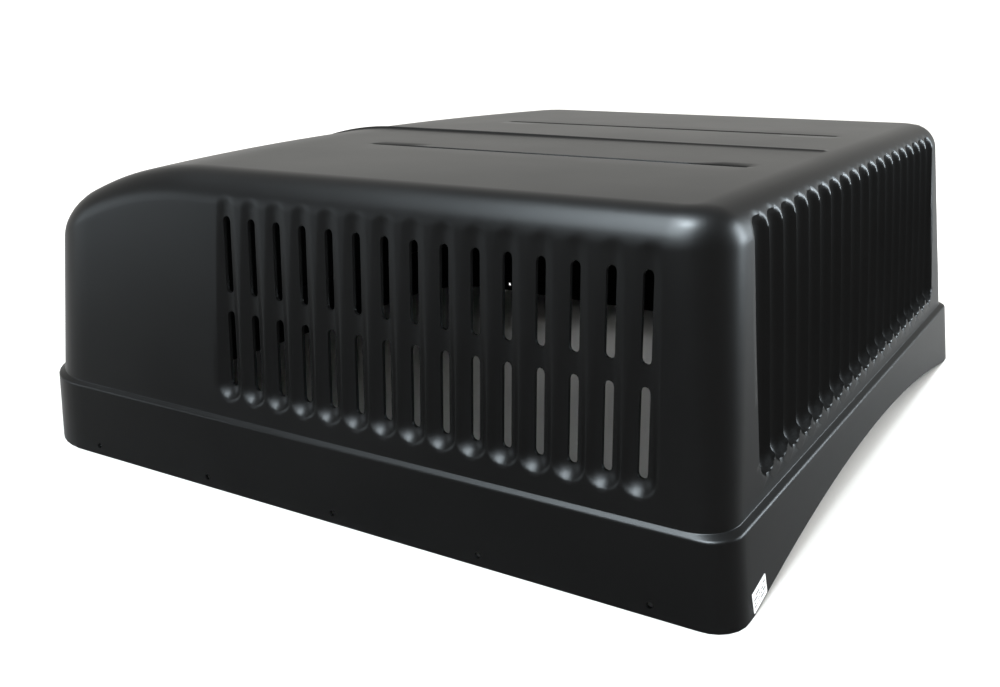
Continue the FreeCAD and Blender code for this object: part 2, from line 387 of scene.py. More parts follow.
@dataclass(frozen=True)
class ShellForm:
    """The plain shape of the shell: plan, draft, shoulder, roof and edge rounding."""

    half_length: float = 0.365
    half_width: float = 0.350
    roof_rear_z: float = 0.275
    roof_rear_x: float = 0.290
    roof_slope: float = 0.01
    crown: float = 0.0015
    crown_half: float = 0.300
    wall: float = 0.003
    skirt_top: float = 0.0637
    wall_foot: float = 0.0664
    draft: float = 0.07
    side_steps: tuple = (0.0014, 0.0050)
    nose_steps: tuple = (0.0019, 0.0066)
    rear_steps: tuple = (0.0060, 0.0115)
    convex_radius: float = 0.0030
    convex_segments: int = 6
    concave_radius: float = 0.0009
    concave_segments: int = 4
    nose_corner: float = 0.083
    rear_corner: float = 0.024
    rear_corner_foot: float = 0.028
    rear_corner_growth: float = 0.079
    edge_radius: float = 0.028
    nose_start: float = -0.180
    nose_start_side: float = 0.040
    nose_fall: float = 1.5
    arch_half: float = 0.313
    arch_rise: float = 0.028
    bead_half: float = 0.0058
    bead_height: float = 0.0024
    bead_ends: tuple = (-0.300, 0.306)
    bead_eases: tuple = (0.020, 0.006)
    bead_fade: float = 0.45
    bead_fade_x: float = -0.1
    bead_fade_length: float = 0.3
    bead_flank: float = 1.25
    groove_y: float = 0.12425
    groove_half: float = 0.0042
    groove_depth: float = 0.0019
    groove_ends: tuple = (-0.110, 0.280)
    groove_eases: tuple = (0.012, 0.010)
    groove_flank: float = 1.5

    @property
    def draft_angle(self) -> float:
        """The walls' tilt from upright, in radians."""
        return math.atan(self.draft)

    def steps(self, face: Face) -> tuple:
        """Inset at the skirt's top and at the wall's foot."""
        return {Face.SIDE: self.side_steps, Face.NOSE: self.nose_steps, Face.REAR: self.rear_steps}[face]

    def wall_inset(self, face: Face, z: np.ndarray) -> np.ndarray:
        """Inset of the drafted wall at a height."""
        return self.steps(face)[1] + self.draft * (z - self.wall_foot)

    def skirt_inset(self, face: Face, z: np.ndarray) -> np.ndarray:
        """Inset of the skirt at a height."""
        return self.steps(face)[0] * z / self.skirt_top

    def shoulder(self, face: Face) -> list:
        """The step between skirt and wall as rounded corners.

        Args:
            face: Which face.

        Returns:
            Points as (height, inset, lean), lean being the face's tilt from upright.
        """
        low, high = self.steps(face)
        lean_skirt = math.atan2(low, self.skirt_top)
        lean_step = math.atan2(high - low, self.wall_foot - self.skirt_top)
        convex, concave = self.convex_segments, self.concave_segments
        points = []
        corners = (
            (self.skirt_top, low, lean_skirt, lean_step, self.convex_radius, convex),
            (self.wall_foot, high, lean_step, self.draft_angle, self.concave_radius, concave),
        )
        for z, inset, lean_in, lean_out, radius, count in corners:
            turn = lean_out - lean_in
            sign = 1.0 if turn > 0 else -1.0
            reach = radius * math.tan(abs(turn) / 2)
            start_z = z - reach * math.cos(lean_in)
            start_inset = inset - reach * math.sin(lean_in)
            for index in range(count + 1):
                angle = abs(turn) * index / count
                ahead = radius * math.sin(angle)
                aside = radius * (1.0 - math.cos(angle)) * sign
                point_z = start_z + ahead * math.cos(lean_in) - aside * math.sin(lean_in)
                point_inset = start_inset + ahead * math.sin(lean_in) + aside * math.cos(lean_in)
                points.append((point_z, point_inset, lean_in + sign * angle))
        return points

    def corner_radius(self, face: Face, z: np.ndarray) -> np.ndarray:
        """Plan radius of the corner beside an end face."""
        if face is Face.NOSE:
            return np.full_like(z, self.nose_corner)
        share = np.clip((z - self.skirt_top) / (self.wall_foot - self.skirt_top), 0.0, 1.0)
        foot = self.rear_corner + (self.rear_corner_foot - self.rear_corner) * share
        return foot + self.rear_corner_growth * np.maximum(z - self.wall_foot, 0.0)

    def roof(self, x: np.ndarray, y: np.ndarray) -> np.ndarray:
        """Height of the roof, with its fall to the nose, its bead and its two grooves.

        Args:
            x: Places along the length.
            y: Places across the width.

        Returns:
            Heights.
        """
        across = (y / self.crown_half) ** 2
        start = self.nose_start + self.nose_start_side * across
        fall = self.nose_fall * np.maximum(start - x, 0.0) ** 2
        plain = self.roof_rear_z + self.roof_slope * (x - self.roof_rear_x)
        plain = plain + self.crown * (1.0 - across) - fall
        ends = self.between(x, self.bead_ends, self.bead_eases)
        fade = smooth_step((x - self.bead_fade_x) / self.bead_fade_length)
        rise = smooth_step(self.bead_flank * (1.0 - np.abs(y) / self.bead_half))
        bead = self.bead_height * (ends * (1.0 - self.bead_fade * fade)) * rise
        ends = self.between(x, self.groove_ends, self.groove_eases)
        away = np.abs(np.abs(y) - self.groove_y) / self.groove_half
        groove = self.groove_depth * ends * smooth_step(self.groove_flank * (1.0 - away))
        return plain + bead - groove

    def between(self, x: np.ndarray, ends: tuple, eases: tuple) -> np.ndarray:
        """1 between two ends and 0 beyond them, eased over a length inside each end."""
        return smooth_step((x - ends[0]) / eases[0]) * smooth_step((ends[1] - x) / eases[1])

    def rim_z(self, y: np.ndarray) -> np.ndarray:
        """Height of the rear skirt's lower edge, which rises in a shallow arch."""
        radius = (self.arch_half**2 + self.arch_rise**2) / (2.0 * self.arch_rise)
        inside = np.sqrt(np.maximum(radius**2 - y**2, 0.0))
        return np.maximum(self.arch_rise - radius + inside, 0.0)


@dataclass(frozen=True)
class WallRow:
    """One ring of the shell's wall.

    A ring is given by its share of the skirt's height, by its step of the shoulder, by its
    height, or by how far the edge has turned. A slot's round ends are drawn by bending the
    ring by `bend` times the slot's half circle.
    """

    side_z: float = 0.0
    rear_z: float = 0.0
    bend: float = 0.0
    fine: bool = True
    share: float = -1.0
    step: int = -1
    side_turn: float = -1.0
    rear_turn: float = -1.0
    margin: float = 0.0


@dataclass
class ColumnSet:
    """The columns of one wall, as (zone side, place along the wall or share of the zone, key)."""

    face: Face
    sign: float
    along: list
    low_start: float
    high_start: float
    low_zone: int
    high_zone: int
    is_key: list
    places: list = field(default_factory=list)

    def __post_init__(self) -> None:
        """List every column, from one corner's middle to the other's."""
        low = [(-1, (self.low_zone - k) / self.low_zone, True) for k in range(self.low_zone)]
        high = [(1, (k + 1) / self.high_zone, True) for k in range(self.high_zone)]
        middle = [(0, place, key) for place, key in zip(self.along, self.is_key)]
        self.places = low + middle + high

    @property
    def at_end(self) -> bool:
        """Whether this wall is the nose or the rear."""
        return self.face is not Face.SIDE

    def keys(self) -> list:
        """The numbers of the key columns, which the coarse mesh keeps."""
        return [index for index, place in enumerate(self.places) if place[2]]

    def joined(self) -> np.ndarray:
        """For each column, the number of the key column it joins where the mesh is coarse."""
        straight = [index for index in self.keys() if self.places[index][0] == 0]
        joined = []
        for index, (_, along, key) in enumerate(self.places):
            near = min(straight, key=lambda k: abs(self.places[k][1] - along))
            joined.append(index if key else near)
        return np.array(joined)


@dataclass
class Stations:
    """What a wall's columns stand on, one array entry for each column."""

    zone: np.ndarray
    value: np.ndarray
    end_weight: np.ndarray
    rear_weight: np.ndarray
    end_is_rear: np.ndarray
    top: np.ndarray
    tangent: np.ndarray
    rim: np.ndarray

    def take(self, use: np.ndarray) -> "Stations":
        """The same for another choice of columns."""
        return Stations(*(getattr(self, item.name)[use] for item in fields(self)))

    def pick(self, rear: np.ndarray, nose: np.ndarray) -> np.ndarray:
        """The rear's value where a column's end face is the rear, or else the nose's."""
        return np.where(self.end_is_rear, rear, nose)


@dataclass
class Ring:
    """One ring's heights, tilt and insets, one array entry for each column."""

    z: np.ndarray
    lean: np.ndarray
    off: np.ndarray
    side_in: np.ndarray
    end_in: np.ndarray
    radius: np.ndarray


@dataclass
class CoverShell:
    """The one-piece moulded shell: skirt, shoulder, fluted walls, rounded edge and roof."""

    form: ShellForm
    side_flutes: FluteRow
    rear_flutes: FluteRow
    nose_zone_x: float = -0.252
    rear_zone_x: float = 0.306
    nose_zone_y: float = 0.245
    rear_zone_y: float = 0.279
    side_zone_counts: tuple = (8, 8)
    rear_zone_count: int = 9
    plain_spacing: float = 0.0115
    plain_gap: float = 0.0217
    groove_front_xs: tuple = (-0.118, -0.113, -0.108)
    groove_rear_xs: tuple = (0.27214, 0.27647, 0.2808, 0.2834)
    bead_ys: tuple = (0.0, 0.002, 0.0034, 0.004, 0.0065)
    groove_ys: tuple = (0.1204, 0.1229, 0.1256, 0.1280)
    skirt_shares: tuple = (0.0, 0.1, 0.32, 0.56, 0.8, 0.97)
    foot_rows: tuple = (0.0720, 0.0785)
    dimple_rows: tuple = (0.0815, 0.0828, 0.0838, 0.0849, 0.0862, 0.0876, 0.0891, 0.0905)
    straight_shares: tuple = (0.28, 0.5, 0.72)
    slot_ease: float = 0.0012
    slot_clear: float = 0.0017
    bridge_z: float = 0.1640
    bridge_drop: float = 0.0018
    head_zs: tuple = (0.2434, 0.2517)
    side_turns: tuple = (8.0, 14.0, 21.0, 29.0, 38.0, 48.0, 59.0, 72.0, 90.0)
    rear_turns: tuple = (18.0, 24.0, 30.0, 36.0, 42.0, 48.0, 57.0, 70.0, 90.0)
    rear_first_turn: float = 12.0
    margin: float = 0.006
    bend_reach: float = 0.070
    roof_probe_z: float = 0.2
    squeeze_top: float = 0.2490
    squeeze_length: float = 0.06
    screw_xs: tuple = (-0.257, -0.117, 0.023, 0.163, 0.303)
    screw_z: float = 0.0085
    screw_radius: float = 0.0025
    screw_sides: int = 28
    drill_length: float = 0.03
    slot_rows: list = field(default_factory=list)

    def rows(self) -> list:
        """Every ring from the rim to the roof's margin.

        Returns:
            The rings. The rings at each slot's two ends are kept in slot_rows.
        """
        rows = [WallRow(fine=False, share=share) for share in self.skirt_shares]
        steps = len(self.form.shoulder(Face.SIDE))
        rows += [WallRow(fine=False, step=index) for index in range(steps)]
        rows += [WallRow(z, z, fine=(index > 0)) for index, z in enumerate(self.foot_rows)]
        rows += [WallRow(z, z) for z in self.dimple_rows]
        lower, upper = zip(self.side_flutes.slots, self.rear_flutes.slots)
        self.add_slot_rows(rows, *lower)
        rows.append(WallRow(self.bridge_z, self.bridge_z - self.bridge_drop))
        rows.append(WallRow(upper[0][0] - self.slot_clear, upper[1][0] - self.slot_clear))
        self.add_slot_rows(rows, *upper)
        rows.append(WallRow(*self.head_zs))
        lean = math.degrees(self.form.draft_angle)
        rows.append(WallRow(side_turn=lean, rear_turn=self.rear_first_turn))
        rows += [WallRow(side_turn=a, rear_turn=b) for a, b in zip(self.side_turns, self.rear_turns)]
        rows.append(WallRow(side_turn=90.0, rear_turn=90.0, margin=self.margin, fine=False))
        return rows

    def add_slot_rows(self, rows: list, side: tuple, rear: tuple) -> None:
        """Add the rings of one level of slots, bent round the slots' ends.

        Args:
            rows: The rings so far, added to.
            side: The lowest and highest point of the side's slots.
            rear: The same for the rear's.
        """
        half, ease, clear = self.side_flutes.slot_half, self.slot_ease, self.slot_clear
        rows.append(WallRow(side[0] + ease, rear[0] + ease, -0.5))
        first = len(rows)
        rows.append(WallRow(side[0] + half, rear[0] + half, -1.0))
        for share in self.straight_shares:
            side_z = side[0] + share * (side[1] - side[0])
            rows.append(WallRow(side_z, rear[0] + share * (rear[1] - rear[0])))
        self.slot_rows.append((first, len(rows)))
        rows.append(WallRow(side[1] - half, rear[1] - half, 1.0))
        rows.append(WallRow(side[1] - ease, rear[1] - ease, 0.5))
        rows.append(WallRow(side[1] + clear, rear[1] + clear))

    def side_columns(self, sign: float) -> ColumnSet:
        """The columns of one long side, -1 for the near one and 1 for the far one."""
        fluted = self.side_flutes.columns()
        stop = fluted[0] - self.plain_gap
        count = round((stop - self.nose_zone_x) / self.plain_spacing)
        plain = list(np.linspace(self.nose_zone_x, stop, count + 1)) + list(self.groove_front_xs)
        along = plain + fluted + [self.rear_zone_x]
        wanted = list(self.groove_rear_xs) + self.side_flutes.crests()
        key = [place not in fluted or is_near(place, wanted) for place in along]
        low, high = self.side_zone_counts
        return ColumnSet(Face.SIDE, sign, along, self.nose_zone_x, self.rear_zone_x, low, high, key)

    def rear_columns(self) -> ColumnSet:
        """The columns of the rear, whose key ones the roof's lines continue."""
        end = self.rear_zone_y
        along = [-end] + self.rear_flutes.columns() + [end]
        lines = self.bead_ys + self.groove_ys + (end,)
        wanted = self.rear_flutes.crests() + [sign * y for y in lines for sign in (-1.0, 1.0)]
        key = [is_near(place, wanted) for place in along]
        zone = self.rear_zone_count
        return ColumnSet(Face.REAR, 1.0, along, -end, end, zone, zone, key)

    def nose_columns(self, rear: ColumnSet) -> ColumnSet:
        """The columns of the nose, as many as the rear has key ones."""
        straight = [rear.places[k][1] for k in rear.keys() if rear.places[k][0] == 0]
        along = [place for place in straight if abs(place) <= self.nose_zone_y]
        zone = (len(rear.keys()) - len(along)) // 2
        key = [True] * len(along)
        return ColumnSet(Face.NOSE, -1.0, along, along[0], along[-1], zone, zone, key)

    def stations(self, columns: ColumnSet) -> Stations:
        """Work out what every column of a wall stands on.

        Args:
            columns: The wall's columns.

        Returns:
            Its stations.
        """
        form = self.form
        zone = np.array([place[0] for place in columns.places], dtype=float)
        value = np.array([place[1] for place in columns.places], dtype=float)
        corner = np.where(zone == 0, 0.0, value)
        end_weight = 1.0 - 0.5 * corner if columns.at_end else 0.5 * corner
        end_is_rear = np.full(len(zone), columns.face is Face.REAR)
        if columns.face is Face.SIDE:
            end_is_rear = (zone > 0) | ((zone == 0) & (value > 0.0))
        rear_weight = np.where(end_is_rear, end_weight, 0.0)
        blank = np.zeros_like(zone)
        found = Stations(zone, value, end_weight, rear_weight, end_is_rear, blank, blank, blank)
        found.top = form.roof(*self.stand(columns, found, self.roof_probe_z))
        found.tangent = found.top - form.edge_radius * (1.0 - math.sin(form.draft_angle))
        if columns.face is Face.REAR:
            found.rim = form.rim_z(self.stand(columns, found, 0.0)[1])
        return found

    def lay(self, columns: ColumnSet, rows: list) -> tuple:
        """Place every vertex of one wall, outside and inside.

        Args:
            columns: The wall's columns.
            rows: The shell's rings.

        Returns:
            Outer and inner points, each rows by columns by 3.
        """
        form = self.form
        count = len(columns.places)
        flutes = {Face.SIDE: self.side_flutes, Face.REAR: self.rear_flutes}.get(columns.face)
        every, joined = self.stations(columns), columns.joined()
        outer = np.zeros((len(rows), count, 3))
        inner = np.zeros((len(rows), count, 3))
        for index, row in enumerate(rows):
            here = every if row.fine else every.take(joined)
            ring = self.ring(row, columns, here)
            pressed = (np.zeros(count), np.zeros(count))
            if flutes is not None and row.fine:
                pressed = self.press(row, columns, here, ring, flutes)
            for skin, deeper, shift in ((outer, 0.0, pressed[0]), (inner, form.wall, pressed[1])):
                away = deeper * np.cos(ring.lean)
                skin[index, :, 0], skin[index, :, 1] = self.plan(columns, here, ring, away, shift)
                skin[index, :, 2] = ring.z - deeper * np.sin(ring.lean)
                if row.side_turn >= 0.0:
                    turn = np.sin(ring.lean)
                    roof = form.roof(outer[index, :, 0], outer[index, :, 1])
                    skin[index, :, 2] = roof - form.edge_radius * (1.0 - turn) - deeper * turn
        return outer, inner

    def press(
        self, row: WallRow, columns: ColumnSet, here: Stations, ring: Ring, flutes: FluteRow
    ) -> tuple:
        """Bend a ring round the slots' ends and press the flutes into it.

        Args:
            row: The ring's place.
            columns: The wall's columns.
            here: Their stations.
            ring: The plain ring, whose heights are bent.
            flutes: The wall's flutes.

        Returns:
            How far the outer and the inner skin are pressed in.
        """
        fluted = here.zone == 0
        half = flutes.slot_half
        offset = np.where(fluted, np.abs(flutes.from_centre(here.value)), half)
        ring.z = ring.z + row.bend * np.sqrt(np.maximum(half**2 - np.minimum(offset, half) ** 2, 0.0))
        plain = ring.end_in if columns.at_end else ring.side_in
        outside = flutes.carve(here.value, ring.z, plain, 0.0) - plain
        within = plain + self.form.wall * np.cos(ring.lean)
        inside = flutes.carve(here.value, ring.z, within, self.form.wall) - within
        return np.where(fluted, outside, 0.0), np.where(fluted, inside, 0.0)

    def stand(self, columns: ColumnSet, here: Stations, height: float) -> tuple:
        """Where a plain wall stands in plan at one height.

        Args:
            columns: The wall's columns.
            here: Their stations.
            height: The height.

        Returns:
            The x and y of each column.
        """
        form = self.form
        z = np.full(len(here.zone), height)
        inset = form.wall_inset if height > form.wall_foot else form.skirt_inset
        end_in = here.pick(inset(Face.REAR, z), inset(Face.NOSE, z))
        radius = here.pick(form.corner_radius(Face.REAR, z), form.corner_radius(Face.NOSE, z))
        blank = np.zeros_like(z)
        ring = Ring(z, blank, blank, inset(Face.SIDE, z), end_in, radius)
        return self.plan(columns, here, ring, blank, blank)

    def ring(self, row: WallRow, columns: ColumnSet, here: Stations) -> Ring:
        """Heights, tilt and insets of one plain ring.

        Args:
            row: The ring's place.
            columns: The wall's columns.
            here: Their stations.

        Returns:
            The ring.
        """
        form = self.form
        off = lean = np.zeros_like(here.top)
        if row.share >= 0.0:
            start = form.shoulder(Face.SIDE)[0][0]
            z = here.rim + row.share * (start - here.rim)
            side_in = form.skirt_inset(Face.SIDE, z)
            end_in = here.pick(form.skirt_inset(Face.REAR, z), form.skirt_inset(Face.NOSE, z))
        elif row.step >= 0:
            side, nose, rear = (form.shoulder(face)[row.step] for face in (Face.SIDE, Face.NOSE, Face.REAR))
            end_z, end_in, end_lean = (here.pick(rear[k], nose[k]) for k in range(3))
            z = side[0] + (end_z - side[0]) * here.end_weight
            lean = side[2] + (end_lean - side[2]) * here.end_weight
            side_in = np.full_like(z, side[1])
        else:
            if row.side_turn >= 0.0:
                lean = np.radians(row.side_turn + (row.rear_turn - row.side_turn) * here.rear_weight)
                z = here.top - form.edge_radius * (1.0 - np.sin(lean))
            else:
                z = row.side_z + (row.rear_z - row.side_z) * here.rear_weight
                z = self.fit_height(z, columns, here)
                rise = 1.0 - (here.top - z) / form.edge_radius
                lean = np.arcsin(np.clip(rise, math.sin(form.draft_angle), 1.0))
            off = form.edge_radius * (math.cos(form.draft_angle) - np.cos(lean)) + row.margin
            wall_z = np.minimum(z, here.tangent)
            side_in = form.wall_inset(Face.SIDE, wall_z) + off
            end_in = here.pick(form.wall_inset(Face.REAR, wall_z), form.wall_inset(Face.NOSE, wall_z)) + off
        low = np.minimum(z, here.tangent)
        radius = here.pick(form.corner_radius(Face.REAR, low), form.corner_radius(Face.NOSE, low))
        return Ring(z, lean, off, side_in, end_in, radius)

    def fit_height(self, z: np.ndarray, columns: ColumnSet, here: Stations) -> np.ndarray:
        """Squeeze a ring's heights under the falling roof towards the nose."""
        if columns.face is Face.REAR:
            return z
        foot = self.foot_rows[0]
        squeezed = foot + (z - foot) * (here.tangent - foot) / (self.squeeze_top - foot)
        share = np.ones_like(z)
        if columns.face is Face.SIDE:
            ends = np.where(here.zone < 0, columns.low_start, columns.high_start)
            place = np.where(here.zone == 0, here.value, ends)
            share = smooth_step((self.side_flutes.columns()[0] - place) / self.squeeze_length)
        return np.where(z > foot, z + (squeezed - z) * share, z)

    def plan(
        self, columns: ColumnSet, here: Stations, ring: Ring, away: np.ndarray, shift: np.ndarray
    ) -> tuple:
        """Where a ring's points stand in plan, along the straight wall and round half of each corner.

        Args:
            columns: The wall's columns.
            here: Their stations.
            ring: The ring.
            away: How far further in the skin lies.
            shift: How far the flutes press in.

        Returns:
            The x and y of each point.
        """
        form, zone, value, radius = self.form, here.zone, here.value, ring.radius
        centre_x = form.half_length - ring.end_in - (radius - ring.off)
        centre_y = form.half_width - ring.side_in - (radius - ring.off)
        centre, across = (centre_y, centre_x) if columns.at_end else (centre_x, centre_y)
        start = np.where(zone < 0, abs(columns.low_start), abs(columns.high_start))
        place = np.abs(value)
        straight = np.maximum(centre - start, 0.0)
        run = value * (straight + radius * HALF_CORNER)
        before = np.arcsin(np.clip((start - centre) / radius, 0.0, STEEPEST))
        late = before + value * (HALF_CORNER - before)
        angle = np.where(centre >= start, np.maximum(run - straight, 0.0) / radius, late)
        zone_flat = np.where(centre >= start, start + np.minimum(run, straight), centre)
        line_angle = np.arcsin(np.clip((place - centre) / radius, 0.0, STEEPEST))
        angle = np.where(zone == 0, line_angle, angle)
        flat = np.where(zone == 0, np.minimum(place, centre), zone_flat)
        reach = radius - ring.off - away - shift
        along = np.where(zone == 0, np.sign(value), zone) * (flat + reach * np.sin(angle))
        across = columns.sign * (across + reach * np.cos(angle))
        return (across, along) if columns.at_end else (along, across)

    def sheet(self, name: str, outer: np.ndarray, inner: np.ndarray) -> bpy.types.Object:
        """Add a grid and shape it to these points.

        Args:
            name: The sheet's name.
            outer: Points, rows by columns by 3.
            inner: The inside skin's points.

        Returns:
            The sheet.
        """
        rows, count = outer.shape[:2]
        bpy.ops.mesh.primitive_grid_add(x_subdivisions=count - 1, y_subdivisions=rows - 1, size=1.0)
        piece = bpy.context.object
        piece.name = name
        piece.data.vertices.foreach_set("co", outer.reshape(-1))
        store = piece.data.attributes.new(INNER_WALL, "FLOAT_VECTOR", "POINT")
        store.data.foreach_set("vector", inner.reshape(-1))
        piece.data.update()
        return piece

    def open_slots(self, piece: bpy.types.Object, columns: ColumnSet, flutes: FluteRow) -> None:
        """Delete the faces of every slot.

        Args:
            piece: A wall's sheet.
            columns: Its columns.
            flutes: Its flutes.
        """
        across = len(columns.places) - 1
        chosen = np.zeros(len(piece.data.polygons), bool)
        for index, (left, right) in enumerate(zip(columns.places, columns.places[1:])):
            middle = np.array([(left[1] + right[1]) / 2])
            straight = left[0] == 0 and right[0] == 0
            if straight and abs(flutes.from_centre(middle)[0]) < flutes.slot_half:
                for low, high in self.slot_rows:
                    chosen[low * across + index : high * across + index : across] = True
        select_only(piece)
        bpy.ops.object.mode_set(mode="EDIT")
        bpy.ops.mesh.select_mode(type="FACE")
        bpy.ops.mesh.select_all(action="DESELECT")
        bpy.ops.object.mode_set(mode="OBJECT")
        piece.data.polygons.foreach_set("select", chosen)
        bpy.ops.object.mode_set(mode="EDIT")
        bpy.ops.mesh.delete(type="FACE")
        bpy.ops.object.mode_set(mode="OBJECT")

    def fade(self, distance: np.ndarray) -> np.ndarray:
        """How much of a margin's bend a roof line keeps at a distance from it."""
        return np.clip(1.0 - distance / self.bend_reach, 0.0, 1.0) ** 2

    def roof_sheet(self, near: np.ndarray, far: np.ndarray, rear: np.ndarray, nose: np.ndarray) -> tuple:
        """Lay the roof inside its margin loop.

        Args:
            near: The margin points of the near side's key columns.
            far: The same for the far side.
            rear: The same for the rear.
            nose: The same for the nose.

        Returns:
            Outer and inner points of the roof.
        """
        share = smooth_step(np.linspace(0.0, 1.0, len(near)))
        lane = nose[:, None, 1] + (rear[:, None, 1] - nose[:, None, 1]) * share[None, :]
        line = np.tile(near[:, 0], (len(rear), 1))
        first, last = near[0, 0], near[-1, 0]
        x = line + self.fade(line - first) * (nose[:, None, 0] - first)
        x = x + self.fade(last - line) * (rear[:, None, 0] - last)
        y = lane + self.fade(lane - lane[:1]) * (near[None, :, 1] - lane[:1])
        y = y + self.fade(lane[-1:] - lane) * (far[None, :, 1] - lane[-1:])
        outer = np.stack([x, y, self.form.roof(x, y)], axis=2)
        return outer, outer - np.array((0.0, 0.0, self.form.wall))

    def build(self, material: bpy.types.Material) -> bpy.types.Object:
        """Make the shell.

        Args:
            material: Its plastic.

        Returns:
            The finished shell.
        """
        rows = self.rows()
        rear = self.rear_columns()
        walls = (
            ("near", self.side_columns(-1.0), self.side_flutes),
            ("far", self.side_columns(1.0), self.side_flutes),
            ("rear", rear, self.rear_flutes),
            ("nose", self.nose_columns(rear), None),
        )
        sheets, loops = [], []
        for name, columns, flutes in walls:
            outer, inner = self.lay(columns, rows)
            piece = self.sheet("wall_" + name, outer, inner)
            if flutes is not None:
                self.open_slots(piece, columns, flutes)
            sheets.append(piece)
            loops.append(outer[-1, columns.keys()])
        sheets.append(self.sheet("roof", *self.roof_sheet(*loops)))
        select_only(*sheets)
        bpy.ops.object.join()
        shell = bpy.context.object
        shell.name = "shell"
        recalculate_normals(shell)
        self.thicken(shell)
        self.drill(shell)
        shell.data.materials.clear()
        shell.data.materials.append(material)
        smooth_by_angle(shell, CRISP_ANGLE)
        LOG.info("shell: %d faces", len(shell.data.polygons))
        return shell

    def thicken(self, shell: bpy.types.Object) -> None:
        """Give the sheet its wall and lay the inside skin in its own place."""
        count = len(shell.data.vertices)
        outside = np.zeros(count * 3)
        shell.data.vertices.foreach_get("co", outside)
        apply_modifier(shell, "SOLIDIFY", thickness=self.form.wall, offset=-1.0, use_rim=True)
        placed = np.zeros(len(shell.data.vertices) * 3)
        shell.data.attributes[INNER_WALL].data.foreach_get("vector", placed)
        placed[: count * 3] = outside
        shell.data.vertices.foreach_set("co", placed)
        shell.data.attributes.remove(shell.data.attributes[INNER_WALL])
        shell.data.update()

    def drill(self, shell: bpy.types.Object) -> None:
        """Drill the skirt's screw holes with two rows of cylinders."""
        bpy.ops.mesh.primitive_cylinder_add(
            vertices=self.screw_sides,
            radius=self.screw_radius,
            depth=self.drill_length,
            rotation=(math.pi / 2, 0.0, 0.0),
        )
        first = bpy.context.object
        apply_place(first)
        pins = []
        for x in self.screw_xs:
            for y in (-self.form.half_width, self.form.half_width):
                pin = first.copy()
                pin.data = first.data.copy()
                bpy.context.collection.objects.link(pin)
                pin.location = (x, y, self.screw_z)
                pins.append(pin)
        bpy.data.objects.remove(first)
        select_only(*pins)
        bpy.ops.object.join()
        tool = bpy.context.object
        apply_place(tool)
        apply_modifier(shell, "BOOLEAN", operation="DIFFERENCE", solver="EXACT", object=tool)
        bpy.data.objects.remove(tool)


class Recipe:
    """A material being made: its shader, and the textures, tint and bump that feed it."""

    def __init__(self, name: str, roughness: float = 0.5, specular: float = 0.5) -> None:
        """Start a material.

        Args:
            name: Its name.
            roughness: Its roughness.
            specular: How strongly it mirrors.
        """
        self.material = bpy.data.materials.new(name)
        self.material.use_nodes = True
        self.nodes = self.material.node_tree.nodes
        self.links = self.material.node_tree.links
        self.shader = self.nodes["Principled BSDF"]
        self.shader.inputs["Roughness"].default_value = roughness
        self.shader.inputs["Specular IOR Level"].default_value = specular

    def texture(self, kind: str, **inputs: float) -> bpy.types.Node:
        """Add a texture that follows the object.

        Args:
            kind: The texture node's type.
            inputs: Its numbers, by name in small letters.

        Returns:
            The texture.
        """
        coords = self.nodes.new("ShaderNodeTexCoord")
        texture = self.nodes.new(kind)
        for name, value in inputs.items():
            texture.inputs[name.title()].default_value = value
        self.links.new(coords.outputs["Object"], texture.inputs["Vector"])
        return texture

    def tint(self, factor: bpy.types.NodeSocket, first: tuple, second: tuple) -> None:
        """Colour the material between two colours.

        Args:
            factor: How much of the second colour there is.
            first: One colour.
            second: The other.
        """
        tint = self.nodes.new("ShaderNodeMix")
        tint.data_type = "RGBA"
        tint.inputs["A"].default_value = (*first, 1.0)
        tint.inputs["B"].default_value = (*second, 1.0)
        self.links.new(factor, tint.inputs["Factor"])
        self.links.new(tint.outputs["Result"], self.shader.inputs["Base Color"])

    def bump(self, height: bpy.types.NodeSocket, strength: float, distance: float) -> None:
        """Make the surface look raised and pitted.

        Args:
            height: The pattern.
            strength: How much of it shows.
            distance: How deep it is.
        """
        bump = self.nodes.new("ShaderNodeBump")
        bump.inputs["Strength"].default_value = strength
        bump.inputs["Distance"].default_value = distance
        self.links.new(height, bump.inputs["Height"])
        self.links.new(bump.outputs["Normal"], self.shader.inputs["Normal"])

    def calculate(self, operation: str, first: object, second: object = None) -> bpy.types.NodeSocket:
        """Add one sum.

        Args:
            operation: The sum's name.
            first: A number, or the socket it comes from.
            second: The same, or nothing.

        Returns:
            The socket with the answer.
        """
        node = self.nodes.new("ShaderNodeMath")
        node.operation = operation
        for index, value in enumerate((first, second)):
            if isinstance(value, float):
                node.inputs[index].default_value = value
            elif value is not None:
                self.links.new(value, node.inputs[index])
        return node.outputs["Value"]


